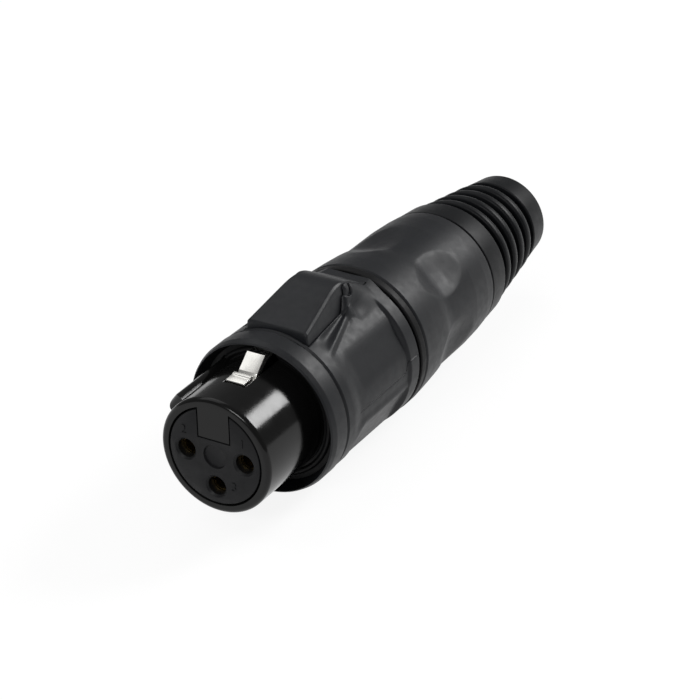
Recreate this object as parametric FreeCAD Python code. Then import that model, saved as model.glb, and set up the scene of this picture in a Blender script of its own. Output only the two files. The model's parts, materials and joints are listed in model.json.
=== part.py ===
"""Three-pole female cable connector with a soft jacket, a push-button latch, a gland nut and a ribbed boot.

Millimetres. The axis is Y. The mating face lies at y = 0 and faces -Y, the cable leaves towards +Y,
and the latch and its button are on top, towards +Z.
"""
import FreeCAD
import Part
import math
import os

V = FreeCAD.Vector
ORIGIN = V(0, 0, 0)
AXIS = V(0, 1, 0)

# Gaps that let one piece sit in or on another
SEAT_GAP = 0.05
FIT_GAP = 0.04

# Nose and shell
NOSE_R = 9.3
NOSE_LENGTH = 17.45
NOSE_EDGE = 0.75
NOSE_WALL = 1.5
SHELL_STEP = 1.2
SHELL_BODY_LENGTH = 20.95
CAVITY_STEP = 0.8
SPIGOT_STEP = 1.3
SPIGOT_WALL = 1.2
SPIGOT_END_GAP = 1.0
KEY_ANGLE = -52.0
KEY_WIDTH = 2.6
KEY_HEIGHT = 1.25
KEY_START = 2.0
KEY_ROUND = 1.05

# Insert and its three contacts
INSERT_LENGTH = 17.8
CONTACT_INSET = 2.84
CONTACT_ANGLES = {"contact_1": 90.0, "contact_2": -90.0, "contact_3": 180.0}
MOUTH_R = 1.5
MOUTH_DEPTH = 1.6
MOUTH_CHAMFER = 0.3
PIN_BORE_R = 1.22
PIN_BORE_DEPTH = 11.0
CONTACT_WALL = 0.58
CONTACT_FLOOR = 1.0
CONTACT_STEM_R = 1.2
CONTACT_SLIT = 0.35
CONTACT_SLIT_LENGTH = 7.5
CUP_R = 1.6
CUP_WALL = 0.4
CUP_LENGTH = 5.4
CUP_DEPTH = 4.0
BRIDGE_WIDTH = 5.25
BRIDGE_CLEAR = 1.0
BRIDGE_GAP = 0.07
BRIDGE_SET_BACK = 0.15
CENTRE_RECESS_R = 1.9
CENTRE_RECESS_DEPTH = 0.25

# Latch lever: heights over the nose and over the shell's body, lengths back from the hook's front
LATCH_WIDTH = 3.1
LATCH_THICKNESS = 0.8
HOOK_FRONT = 6.2
HOOK_LENGTH = 2.3
HOOK_PROUD = 0.3
NECK_SUNK = 0.35
NECK_LENGTH = 0.9
NECK_RISE = 0.25
RAMP_LENGTH = 2.75
ARM_OVER_BODY = 1.1
ARM_TAIL = 3.5
PIVOT_SET_BACK = 8.4
PIVOT_SUNK = 0.3
PIN_R = 0.6
PIN_LENGTH = 8.0
PIVOT_GAP = 0.04
EYE_WALL = 0.55
LATCH_SIDE_GAP = 0.25
LATCH_DROP = 2.1
ARM_HEADROOM = 0.2
SLOT_FRONT_GAP = 0.5
EYE_GAP = 0.12
SPRING_THICKNESS = 0.3
SPRING_WIDTH = 2.4
SPRING_REACH = 7.5
SPRING_LIP = 0.8
SPRING_FOOT_REACH = 2.8
SPRING_FOOT_LENGTH = 1.4

# Earth clip and sleeve behind the insert
CLIP_THICKNESS = 0.3
CLIP_ANGLE = 135.0
CLIP_WIDTH = 2.2
CLIP_TAIL = 5.6
CLIP_REACH = 0.9
SLEEVE_GAP = 1.1
SLEEVE_WALL = 0.5

# Jacket
JACKET_WALL = 1.9
BELL_LENGTH = 5.05
BELL_DEPTH = 2.6
BELL_WALL = 1.05
LIP_PROUD = 0.12
LIP_LENGTH = 3.9
LIP_WALL = 0.57
LIP_EDGE = 1.1
GROOVE_WIDTH = 0.9
GROOVE_DEPTH = 0.4
JACKET_SHORT = 0.2
JACKET_EDGE = 0.4
FACET_ANGLES = (60.0, 120.0, 180.0, 240.0, 300.0)
FACET_SET_BACK = 2.4
FACET_RAMP = 4.4
FACET_DEPTH = 0.9
FACET_REAR = 4.0
FACET_STEP = 0.3
FACET_STEP_RAMP = 0.6
FACET_HALF = 7.0
VALLEY_ANGLE = 30.0
VALLEY_RAMP = 1.5
VALLEY_OVERRUN = 1.3
VALLEY_DEPTH = 0.55
VALLEY_HALF = 4.5
PARTING_WIDTH = 0.18
PARTING_SET_BACK = 1.1

# Seals
BELL_SEAL_BEAD_R = 0.45
BELL_SEAL_BEAD_AT = 0.85
REAR_SEAL_WIDTH = 1.45
REAR_SEAL_PROUD = 0.1
REAR_SEAL_EDGE = 0.3

# Push button: heights over the jacket's radius; the side walls lean in by these slopes, rearwards and upwards
PAD_SET_BACK = 0.4
PAD_REAR_MARGIN = 1.3
PAD_HALF_FRONT = 5.36
PAD_TAPER = 0.0787
PAD_DRAFT = 0.1587
PAD_FRONT_SUNK = 0.1
PAD_RAMP_LENGTH = 0.5
PAD_RAMP_RISE = 0.78
PAD_CREST_RISE = 3.4
PAD_CREST_LENGTH = 1.3
PAD_REAR_SLOPE = 6.9
PAD_ROUND = 0.55
PAD_CREST_ROUND = 3.0
PAD_WALL = 1.1
PAD_SKIRT = 0.85
PAD_GAP = 0.12
PAD_REAR_SOLID = 4.9
SCOOP_SET_BACK = 3.4
SCOOP_WIDTH = 7.6
SCOOP_LENGTH = 2.6
SCOOP_DEPTH = 0.75
PLUNGER_SET_BACK = 2.9
PLUNGER_SHORT = 3.0
PLUNGER_SIDE_GAP = 0.48
PLUNGER_BAR = 0.75
PLUNGER_FOOT_LENGTH = 1.0
PLUNGER_GAP = 0.08
HOLLOW_RISE = 0.55

# Chuck, cable seal and washer
CHUCK_WALL = 3.9
CHUCK_SET_BACK = 0.2
CHUCK_LENGTH = 21.0
CHUCK_SOLID = 7.0
CHUCK_CONE_LENGTH = 8.6
CHUCK_NOSE_WALL = 2.6
CHUCK_SLITS = 4
CHUCK_SLIT = 1.0
CHUCK_FIT = 0.1
CABLE_SEAL_LENGTH = 6.0
CABLE_SEAL_WALL = 2.0
CABLE_SEAL_WAIST = 0.5
CABLE_SEAL_GRIP = 0.1
WASHER_THICKNESS = 1.0
WASHER_WIDTH = 3.7
WASHER_GAP = 0.2

# Gland nut, soft grip and boot
NUT_THREAD_GAP = 0.35
NUT_CORE_WALL = 0.9
NUT_CONE_GAP = 0.35
NUT_END_WALL = 3.8
GRIP_SHORT = 0.2
GRIP_PROUD = 0.15
GRIP_FRONT_EDGE = 0.4
GRIP_SHOULDER_LENGTH = 7.6
GRIP_SHOULDER_DROP = 0.7
GRIP_SHOULDER_BULGE = 0.05
GRIP_WAIST_START = 9.6
GRIP_WAIST_DROP = 1.15
GRIP_TAIL = 7.4
GRIP_END_DROP = 1.7
GRIP_TAIL_BULGE = 0.08
DIMPLES = 6
DIMPLE_PHASE = 45.0
DIMPLE_SET_BACK = 1.9
DIMPLE_LENGTH = 10.5
DIMPLE_DEPTH = 0.6
DIMPLE_WIDTH = 7.4
DIMPLE_BALL = 3.0
BOSS_WALL = 2.7
BOSS_BORE_GAP = 0.9
BOSS_RIB = 0.5
BOSS_RIB_LENGTH = 1.6
BOSS_SHORT = 0.4
BOOT_LENGTH = 24.3
COLLAR_LENGTH = 4.6
COLLAR_SUNK = 0.1
COLLAR_DROP = 0.4
RIB_GROOVES = 5
RIB_FIRST_GROOVE_GAP = 1.15
RIB_PITCH = 3.18
RIB_DROP = 0.4
GROOVE_FLOOR_DROP = 1.7
GROOVE_GAP = 1.1
RIB_FOOT = 0.9
BOOT_END_WALL = 3.1
BOOT_ROUND = 0.8
BOOT_SHOULDER = 0.9
BOOT_MOUTH_CHAMFER = 0.3

# Radii that follow from the nose outwards and inwards
SHELL_BORE_R = NOSE_R - NOSE_WALL
SHELL_BODY_R = NOSE_R + SHELL_STEP
CAVITY_R = SHELL_BORE_R - CAVITY_STEP
SPIGOT_R = SHELL_BODY_R - SPIGOT_STEP
SPIGOT_BORE_R = SPIGOT_R - SPIGOT_WALL
JACKET_BORE_R = SHELL_BODY_R + FIT_GAP
JACKET_R = SHELL_BODY_R + JACKET_WALL
LIP_R = JACKET_R + LIP_PROUD
BELL_ROOT_R = JACKET_R - BELL_WALL
BELL_MOUTH_R = LIP_R - LIP_WALL
BELL_SEAL_R = BELL_ROOT_R - SEAT_GAP
REAR_SEAL_R = JACKET_R + REAR_SEAL_PROUD
INSERT_R = SHELL_BORE_R - FIT_GAP
CONTACT_PITCH_R = SHELL_BORE_R - CONTACT_INSET
CONTACT_R = PIN_BORE_R + CONTACT_WALL
SLEEVE_R = CAVITY_R - SEAT_GAP
CHUCK_R = SPIGOT_BORE_R - CHUCK_FIT
CABLE_R = CHUCK_R - CHUCK_WALL
CHUCK_NOSE_R = CABLE_R + CHUCK_NOSE_WALL
CABLE_SEAL_R = CABLE_R + CABLE_SEAL_WALL
WASHER_R = CABLE_R + WASHER_WIDTH
NUT_BORE_R = SPIGOT_R + NUT_THREAD_GAP
NUT_CORE_R = NUT_BORE_R + NUT_CORE_WALL
GRIP_FRONT_R = JACKET_R + GRIP_PROUD
GRIP_SHOULDER_R = GRIP_FRONT_R - GRIP_SHOULDER_DROP
GRIP_WAIST_R = GRIP_FRONT_R - GRIP_WAIST_DROP
GRIP_END_R = GRIP_FRONT_R - GRIP_END_DROP
COLLAR_R = GRIP_END_R - COLLAR_SUNK
COLLAR_END_R = COLLAR_R - COLLAR_DROP
RIB_FIRST_R = COLLAR_END_R - RIB_DROP
BOSS_BORE_R = CABLE_R + BOSS_BORE_GAP
BOSS_R = BOSS_BORE_R + BOSS_WALL
BOOT_END_R = CABLE_R + BOOT_END_WALL

# Places along the axis, from the mating face to the rear
SHELL_BODY_START = NOSE_LENGTH
SHELL_BODY_END = SHELL_BODY_START + SHELL_BODY_LENGTH
CONTACT_START = MOUTH_DEPTH + 2 * SEAT_GAP
BORE_END = CONTACT_START + PIN_BORE_DEPTH
CUP_START = INSERT_LENGTH + 2 * SEAT_GAP
CUP_END = CUP_START + CUP_LENGTH
CAVITY_START = INSERT_LENGTH + CLIP_THICKNESS + 2 * SEAT_GAP
SLEEVE_START = CUP_END + SLEEVE_GAP
JACKET_START = SHELL_BODY_START - BELL_LENGTH
JACKET_END = SHELL_BODY_END - JACKET_SHORT
BELL_FLOOR = JACKET_START + BELL_DEPTH
BELL_SEAL_END = SHELL_BODY_START - SEAT_GAP
LIP_END = JACKET_START + LIP_LENGTH
GROOVE_END = LIP_END + GROOVE_WIDTH
FACET_FRONT = GROOVE_END + FACET_SET_BACK
FACET_STEP_Y = JACKET_END - FACET_REAR
PARTING_START = FACET_FRONT + PARTING_SET_BACK
PAD_FRONT = GROOVE_END + PAD_SET_BACK
PAD_REAR = JACKET_END - PAD_REAR_MARGIN
PAD_RAMP_Y = PAD_FRONT + PAD_RAMP_LENGTH
PAD_CREST_END = PAD_REAR - PAD_REAR_SLOPE
PAD_CREST_Y = PAD_CREST_END - PAD_CREST_LENGTH
PAD_HOLLOW_END = PAD_REAR - PAD_REAR_SOLID
SCOOP_Y = PAD_REAR - SCOOP_SET_BACK
VALLEY_FRONT = PAD_FRONT + 2 * SEAT_GAP
VALLEY_DEEPEST = VALLEY_FRONT + VALLEY_RAMP
VALLEY_END = PAD_CREST_Y + VALLEY_OVERRUN
PLUNGER_START = PAD_FRONT + PLUNGER_SET_BACK
PLUNGER_END = PAD_HOLLOW_END - PLUNGER_SHORT
HOOK_REAR = HOOK_FRONT + HOOK_LENGTH
NECK_END = HOOK_REAR + NECK_LENGTH
RAMP_START = NECK_END + NECK_RISE
RAMP_END = RAMP_START + RAMP_LENGTH
PIVOT_Y = SHELL_BODY_END - PIVOT_SET_BACK
ARM_END = PIVOT_Y - ARM_TAIL
SPRING_TIP_Y = PIVOT_Y - SPRING_REACH
SPRING_FOOT_Y = PIVOT_Y - SPRING_FOOT_REACH
REAR_SEAL_START = SHELL_BODY_END + SEAT_GAP
REAR_SEAL_END = REAR_SEAL_START + REAR_SEAL_WIDTH
NUT_START = REAR_SEAL_END + 2 * SEAT_GAP
CHUCK_START = SHELL_BODY_END + CHUCK_SET_BACK
CHUCK_END = CHUCK_START + CHUCK_LENGTH
CHUCK_CONE_START = CHUCK_END - CHUCK_CONE_LENGTH
SPIGOT_END = CHUCK_CONE_START - SPIGOT_END_GAP
WASHER_START = CHUCK_END + WASHER_GAP
WASHER_END = WASHER_START + WASHER_THICKNESS
BOOT_START = WASHER_END + NUT_END_WALL
BOOT_END = BOOT_START + BOOT_LENGTH
GRIP_START = NUT_START + SEAT_GAP
GRIP_END = BOOT_START - GRIP_SHORT
GRIP_SHOULDER_Y = NUT_START + GRIP_SHOULDER_LENGTH
GRIP_WAIST_Y = NUT_START + GRIP_WAIST_START
GRIP_WAIST_END = GRIP_END - GRIP_TAIL
DIMPLE_Y = GRIP_WAIST_Y + DIMPLE_SET_BACK
COLLAR_END = BOOT_START + COLLAR_LENGTH
BOSS_END = COLLAR_END - BOSS_SHORT
BOSS_RIB_START = BOSS_END - BOSS_RIB_LENGTH
RIB_FIRST_GROOVE = COLLAR_END + RIB_FIRST_GROOVE_GAP

# Heights over the axis of what lies on top, and half widths
BRIDGE_FLOOR = CONTACT_R + BRIDGE_CLEAR
HOOK_FRONT_TOP = NOSE_R
HOOK_REAR_TOP = NOSE_R + HOOK_PROUD
NECK_TOP = NOSE_R - NECK_SUNK
ARM_TOP = SHELL_BODY_R + ARM_OVER_BODY
ARM_UNDER = ARM_TOP - LATCH_THICKNESS
ARM_CEILING = ARM_TOP + ARM_HEADROOM
PIVOT_Z = NOSE_R - PIVOT_SUNK
EYE_R = PIN_R + PIVOT_GAP + EYE_WALL
EYE_FLOOR = PIVOT_Z - EYE_R - EYE_GAP
SLOT_FLOOR = HOOK_FRONT_TOP - LATCH_THICKNESS - LATCH_DROP
LATCH_SLOT_HALF = LATCH_WIDTH / 2 + LATCH_SIDE_GAP
PAD_FOOT_Z = SHELL_BODY_R + JACKET_WALL / 2
PAD_UNDER_R = JACKET_R - PAD_SKIRT
PAD_FRONT_TOP = JACKET_R - PAD_FRONT_SUNK
PAD_RAMP_TOP = JACKET_R + PAD_RAMP_RISE
PAD_CREST_TOP = JACKET_R + PAD_CREST_RISE
PLUNGER_TOP = JACKET_R + HOLLOW_RISE
PLUNGER_BASE = PLUNGER_TOP - PLUNGER_BAR


def revolve(points):
    """Solid of revolution about Y. Points are (radius, y); two more numbers make the edge to a point an arc
    through (third, fourth)."""
    edges = []
    count = len(points)
    for index in range(count):
        start = points[index]
        end = points[(index + 1) % count]
        a = V(start[0], start[1], 0)
        b = V(end[0], end[1], 0)
        if len(end) == 4:
            edges.append(Part.Arc(a, V(end[2], end[3], 0), b).toShape())
        else:
            edges.append(Part.LineSegment(a, b).toShape())
    return Part.Face(Part.Wire(edges)).revolve(ORIGIN, AXIS, 360)


def rod(radius, start, end, x=0.0, z=0.0):
    """Cylinder along Y."""
    return Part.makeCylinder(radius, end - start, V(x, start, z), AXIS)


def cross_rod(radius, width):
    """Cylinder along X on the axis of the latch's pin."""
    return Part.makeCylinder(radius, width, V(-width / 2, PIVOT_Y, PIVOT_Z), V(1, 0, 0))


def tube(outer, inner, start, end):
    return rod(outer, start, end).cut(rod(inner, start - 1, end + 1))


def block(x0, x1, y0, y1, z0, z1):
    return Part.makeBox(x1 - x0, y1 - y0, z1 - z0, V(x0, y0, z0))


def turned(shape, angle):
    """Copy turned about the connector's axis; an angle of 0 is the top and 90 is the +X side."""
    copy = shape.copy()
    copy.rotate(ORIGIN, AXIS, angle)
    return copy


def side_profile(points, half_width):
    """Prism whose outline is given by (y, z) points and which spans plus and minus half_width in X."""
    corners = [V(-half_width, y, z) for y, z in points]
    face = Part.Face(Part.makePolygon(corners + corners[:1]))
    return face.extrude(V(2 * half_width, 0, 0))


def rounded(shape, radius, wanted):
    """Fillets the edges for which wanted(edge) is true."""
    edges = [edge for edge in shape.Edges if wanted(edge)]
    return shape.makeFillet(radius, edges)


def contact_place(angle):
    return CONTACT_PITCH_R * math.sin(math.radians(angle)), CONTACT_PITCH_R * math.cos(math.radians(angle))


def save(name, shape):
    shape = shape.removeSplitter()
    if shape.ShapeType == "Compound" and len(shape.Solids) == 1:
        shape = shape.Solids[0]
    print(name, len(shape.Solids), "solid", shape.isValid(), round(shape.Volume, 2))
    shape.exportStep("parts/" + name + ".step")


# Metal shell

def latch_slot():
    """Room for the latch: deep slot in the nose, shallower one along the body, pocket for the eye."""
    half = LATCH_SLOT_HALF
    top = SHELL_BODY_R + 1
    arm_floor = ARM_UNDER - LATCH_DROP
    nose = block(-half, half, HOOK_FRONT - SLOT_FRONT_GAP, SHELL_BODY_START, SLOT_FLOOR, top)
    body = block(-half, half, SHELL_BODY_START - 1, PIVOT_Y, arm_floor, top)
    eye = block(-half, half, SPRING_TIP_Y - 2 * SPRING_LIP, PIVOT_Y + EYE_R + EYE_GAP, EYE_FLOOR, top)
    return nose.fuse([body, eye])


def key_rib():
    """Rounded rib along the nose that keys the mating shell."""
    top = NOSE_R + KEY_HEIGHT
    rib = block(-KEY_WIDTH / 2, KEY_WIDTH / 2, KEY_START, SHELL_BODY_START, SHELL_BORE_R + 0.5, top)
    rib = rounded(rib, KEY_ROUND, lambda edge: edge.CenterOfMass.z > top - 0.01)
    return turned(rib, KEY_ANGLE)


def bridge():
    """Block inside the nose that fills the notch in the insert and carries the floor of the latch slot."""
    half = BRIDGE_WIDTH / 2
    return block(-half, half, BRIDGE_SET_BACK, INSERT_LENGTH, BRIDGE_FLOOR, SHELL_BORE_R + 0.3)


def nose_shell():
    edge_mid = NOSE_EDGE * (1 - math.sqrt(0.5))
    shell = revolve([
        (SHELL_BORE_R, 0),
        (NOSE_R - NOSE_EDGE, 0),
        (NOSE_R, NOSE_EDGE, NOSE_R - edge_mid, edge_mid),
        (NOSE_R, SHELL_BODY_START),
        (SHELL_BODY_R, SHELL_BODY_START),
        (SHELL_BODY_R, SHELL_BODY_END),
        (SPIGOT_R, SHELL_BODY_END),
        (SPIGOT_R, SPIGOT_END),
        (SPIGOT_BORE_R, SPIGOT_END),
        (SPIGOT_BORE_R, CHUCK_START - 0.1),
        (CAVITY_R, CHUCK_START - 0.1),
        (CAVITY_R, CAVITY_START),
        (SHELL_BORE_R, CAVITY_START),
    ])
    shell = shell.fuse([bridge(), key_rib()])
    return shell.cut([latch_slot(), cross_rod(PIN_R, PIN_LENGTH)])


# Insert and contacts

def contact_insert():
    """Black insulator: contact holes, a notch for the bridge and a plain round recess in the face."""
    insert = rod(INSERT_R, 0, INSERT_LENGTH)
    half = BRIDGE_WIDTH / 2 + BRIDGE_GAP
    cuts = [block(-half, half, -1, INSERT_LENGTH + 1, BRIDGE_FLOOR - BRIDGE_GAP, INSERT_R + 1)]
    cuts.append(rod(CENTRE_RECESS_R, -1, CENTRE_RECESS_DEPTH))
    for angle in CONTACT_ANGLES.values():
        x, z = contact_place(angle)
        cuts.append(rod(MOUTH_R, -1, MOUTH_DEPTH + 1, x, z))
        cuts.append(Part.makeCone(MOUTH_R + MOUTH_CHAMFER, MOUTH_R, MOUTH_CHAMFER, V(x, 0, z), AXIS))
        cuts.append(rod(CONTACT_R + FIT_GAP, MOUTH_DEPTH, INSERT_LENGTH + 1, x, z))
    return insert.cut(cuts)


def contact(angle):
    """Turned socket: slit front sleeve, stem and an open solder cup whose mouth faces the axis."""
    sleeve_end = BORE_END + CONTACT_FLOOR
    body = rod(CONTACT_R, CONTACT_START, sleeve_end)
    body = body.fuse([rod(CONTACT_STEM_R, sleeve_end, CUP_START), rod(CUP_R, CUP_START, CUP_END)])
    slit = block(-CONTACT_R - 1, CONTACT_R + 1, CONTACT_START - 1, CONTACT_START + CONTACT_SLIT_LENGTH,
                 -CONTACT_SLIT / 2, CONTACT_SLIT / 2)
    cup_mouth = block(-CUP_R - 1, CUP_R + 1, CUP_END - CUP_DEPTH * 0.75, CUP_END + 1, -CUP_R - 1, -CUP_R / 3)
    body = body.cut([
        rod(PIN_BORE_R, CONTACT_START - 1, BORE_END),
        slit,
        rod(CUP_R - CUP_WALL, CUP_END - CUP_DEPTH, CUP_END + 1),
        cup_mouth,
    ])
    body.translate(V(0, 0, CONTACT_PITCH_R))
    return turned(body, angle)


def earth_clip():
    """Sheet clip held between the insert and the shell's step, with a solder tail."""
    start = INSERT_LENGTH + FIT_GAP
    inner = CAVITY_R - CLIP_REACH
    plate = tube(SHELL_BORE_R - 2 * SEAT_GAP, inner, start, start + CLIP_THICKNESS)
    half = CLIP_WIDTH / 2
    plate = plate.common(block(-half, half, start - 1, start + 1, 0, SHELL_BORE_R))
    tail = block(-half, half, start, start + CLIP_TAIL, inner, inner + CLIP_THICKNESS)
    return turned(plate.fuse(tail), CLIP_ANGLE)


def insulating_sleeve():
    return tube(SLEEVE_R, SLEEVE_R - SLEEVE_WALL, SLEEVE_START, CHUCK_START - 0.2)


# Latch

def latch():
    """Sheet lever with the hook in front and a rolled eye behind."""
    drop = LATCH_THICKNESS
    top_line = [
        (HOOK_FRONT, HOOK_FRONT_TOP),
        (HOOK_REAR, HOOK_REAR_TOP),
        (HOOK_REAR, NECK_TOP),
        (NECK_END, NECK_TOP),
        (RAMP_START, HOOK_FRONT_TOP),
        (RAMP_END, ARM_TOP),
        (ARM_END, ARM_TOP),
        (PIVOT_Y, PIVOT_Z + EYE_R),
    ]
    under_line = [
        (PIVOT_Y - EYE_R / 2, PIVOT_Z + EYE_R - drop),
        (ARM_END - drop / 2, ARM_UNDER),
        (RAMP_END + drop / 2, ARM_UNDER),
        (RAMP_START + drop / 2, NECK_TOP - drop),
        (HOOK_FRONT, HOOK_FRONT_TOP - drop),
    ]
    lever = side_profile(top_line + under_line, LATCH_WIDTH / 2)
    return lever.fuse(cross_rod(EYE_R, LATCH_WIDTH)).cut(cross_rod(PIN_R + PIVOT_GAP, LATCH_WIDTH + 2))


def latch_pin():
    return cross_rod(PIN_R, PIN_LENGTH)


def latch_spring():
    """Leaf that stands on the floor of the slot and bears on the underside of the latch."""
    floor = EYE_FLOOR + FIT_GAP
    tip = ARM_UNDER - SEAT_GAP
    t = SPRING_THICKNESS
    return side_profile([
        (SPRING_FOOT_Y + SPRING_FOOT_LENGTH, floor),
        (SPRING_FOOT_Y, floor),
        (SPRING_TIP_Y, tip - t),
        (SPRING_TIP_Y - SPRING_LIP, tip - t),
        (SPRING_TIP_Y - SPRING_LIP, tip),
        (SPRING_TIP_Y + t / 3, tip),
        (SPRING_FOOT_Y + t / 3, floor + t),
        (SPRING_FOOT_Y + SPRING_FOOT_LENGTH, floor + t),
    ], SPRING_WIDTH / 2)


def arm_room(start):
    """Room over the arm of the latch, from the given y to the front of the button's hollow."""
    half = LATCH_SLOT_HALF
    return block(-half, half, start, PAD_FRONT + 1.2 * PAD_WALL, SHELL_BODY_R - 1, ARM_CEILING)


# Push button

def pad_half_width(y, z):
    return PAD_HALF_FRONT - PAD_TAPER * (y - PAD_FRONT) - PAD_DRAFT * (z - PAD_FOOT_Z)


def pad_block(gap, bottom, top):
    """Block between the four side walls of the button, grown outwards by gap."""
    front = PAD_FRONT - gap
    rear = PAD_REAR + gap
    ends = []
    for y in (front, rear):
        low = pad_half_width(y, bottom) + gap
        high = pad_half_width(y, top) + gap
        corners = [V(-low, y, bottom), V(low, y, bottom), V(high, y, top), V(-high, y, top)]
        ends.append(Part.makePolygon(corners + corners[:1]))
    return Part.makeLoft(ends, True, True)


def pad_slopes():
    """Angles of the ramp in front of the crest and of the slope behind it."""
    ramp = math.atan2(PAD_CREST_TOP - PAD_RAMP_TOP, PAD_CREST_Y - PAD_RAMP_Y)
    slope = math.atan2(PAD_CREST_TOP - JACKET_R, PAD_REAR_SLOPE - PAD_ROUND)
    return ramp, slope


def crest_round():
    """Radius of the crest's two edges, as far as the flat between them has room for both."""
    ramp, slope = pad_slopes()
    room = PAD_CREST_LENGTH / (math.tan(ramp / 2) + math.tan(slope / 2))
    return min(PAD_CREST_ROUND, room - FIT_GAP)


def thumb_scoop():
    """Shallow rounded trough across the button, behind its crest."""
    slope = pad_slopes()[1]
    surface = PAD_CREST_TOP - math.tan(slope) * (SCOOP_Y - PAD_CREST_END)
    half_length = SCOOP_LENGTH / 2
    half_width = SCOOP_WIDTH / 2
    trough = Part.makeSphere(1.0)
    matrix = FreeCAD.Matrix()
    matrix.scale(half_width, half_length, SCOOP_DEPTH)
    trough = trough.transformGeometry(matrix)
    trough.rotate(ORIGIN, V(1, 0, 0), -math.degrees(slope))
    trough.translate(V(0, SCOOP_Y, surface))
    return trough


def button_pad():
    """Raised soft button: ramp, crest and rear slope, hollow underneath."""
    bottom = SHELL_BODY_R - JACKET_WALL
    top = PAD_CREST_TOP + 1
    outline = side_profile([
        (PAD_FRONT - 1, bottom),
        (PAD_REAR + 1, bottom),
        (PAD_REAR + 1, JACKET_R - SEAT_GAP),
        (PAD_REAR - PAD_ROUND, JACKET_R - SEAT_GAP),
        (PAD_CREST_END, PAD_CREST_TOP),
        (PAD_CREST_Y, PAD_CREST_TOP),
        (PAD_RAMP_Y, PAD_RAMP_TOP),
        (PAD_FRONT, PAD_FRONT_TOP),
        (PAD_FRONT - 1, PAD_FRONT_TOP - 1),
    ], PAD_HALF_FRONT + 2)
    outline = rounded(outline, crest_round(), lambda edge: edge.BoundBox.ZMin > PAD_CREST_TOP - 0.01
                      and edge.BoundBox.YLength < 0.01)
    pad = pad_block(0, bottom, top).common(outline)

    def ridge(edge):
        middle = edge.CenterOfMass
        return abs(middle.x) > PAD_HALF_FRONT / 2 and middle.z > PAD_FRONT_TOP and edge.BoundBox.YLength > 0.4

    pad = rounded(pad, PAD_ROUND, ridge)
    inner = pad_block(-PAD_WALL, bottom - 1, PLUNGER_TOP)
    solid_rear = block(-PAD_HALF_FRONT, PAD_HALF_FRONT, PAD_HOLLOW_END, PAD_REAR, bottom - 2, top)
    under = rod(PAD_UNDER_R, PAD_FRONT - 2, PAD_REAR + 2)
    return pad.cut([under, inner.cut(solid_rear), arm_room(PAD_FRONT - 1), thumb_scoop()])


def button_plunger():
    """Hard bar inside the button, with a foot just above the arm of the latch."""
    half = pad_half_width(PLUNGER_END, PLUNGER_TOP) - PAD_WALL - PLUNGER_SIDE_GAP
    bar = block(-half, half, PLUNGER_START, PLUNGER_END, PLUNGER_BASE, PLUNGER_TOP)
    foot = block(-LATCH_WIDTH / 2, LATCH_WIDTH / 2, PLUNGER_START, PLUNGER_START + PLUNGER_FOOT_LENGTH,
                 ARM_TOP + PLUNGER_GAP, PLUNGER_BASE)
    return bar.fuse(foot)


# Jacket and seals

def facet_cut(angle):
    """Removes a flat grip facet that runs out in front and steps up at the rear."""
    flat = JACKET_R - FACET_DEPTH
    far = JACKET_R + 2
    cut = side_profile([
        (FACET_FRONT, JACKET_R),
        (FACET_FRONT + FACET_RAMP, flat),
        (FACET_STEP_Y, flat),
        (FACET_STEP_Y + FACET_STEP_RAMP, flat + FACET_STEP),
        (JACKET_END + 1, flat + FACET_STEP),
        (JACKET_END + 1, far),
        (FACET_FRONT, far),
    ], FACET_HALF)
    return turned(cut, angle)


def valley_cut(angle):
    """Removes the shallow leaf-shaped facet beside the button."""
    far = JACKET_R + 2
    cut = side_profile([
        (VALLEY_FRONT, JACKET_R),
        (VALLEY_DEEPEST, JACKET_R - VALLEY_DEPTH),
        (VALLEY_END, JACKET_R),
        (VALLEY_END, far),
        (VALLEY_FRONT, far),
    ], VALLEY_HALF)
    return turned(cut, angle)


def grip_jacket():
    groove_r = LIP_R - GROOVE_DEPTH
    edge_mid = LIP_EDGE * 0.25
    jacket = revolve([
        (BELL_MOUTH_R, JACKET_START),
        (LIP_R, JACKET_START + LIP_EDGE, LIP_R - edge_mid, JACKET_START + edge_mid),
        (LIP_R, LIP_END),
        (groove_r, LIP_END + GROOVE_WIDTH * 0.3),
        (groove_r, GROOVE_END - GROOVE_WIDTH * 0.3),
        (JACKET_R, GROOVE_END),
        (JACKET_R, JACKET_END - JACKET_EDGE),
        (JACKET_R - JACKET_EDGE, JACKET_END),
        (JACKET_BORE_R, JACKET_END),
        (JACKET_BORE_R, SHELL_BODY_START),
        (BELL_ROOT_R, SHELL_BODY_START),
        (BELL_ROOT_R, BELL_FLOOR),
    ])
    cuts = [facet_cut(angle) for angle in FACET_ANGLES]
    cuts += [valley_cut(VALLEY_ANGLE), valley_cut(-VALLEY_ANGLE)]
    for side in (-1, 1):
        x = side * JACKET_R
        cuts.append(block(x - PARTING_WIDTH, x + PARTING_WIDTH, PARTING_START, FACET_STEP_Y,
                          -PARTING_WIDTH / 2, PARTING_WIDTH / 2))
    cuts.append(pad_block(PAD_GAP, SHELL_BODY_R - JACKET_WALL, PAD_CREST_TOP + 1))
    cuts.append(arm_room(JACKET_START))
    return jacket.cut(cuts)


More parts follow.
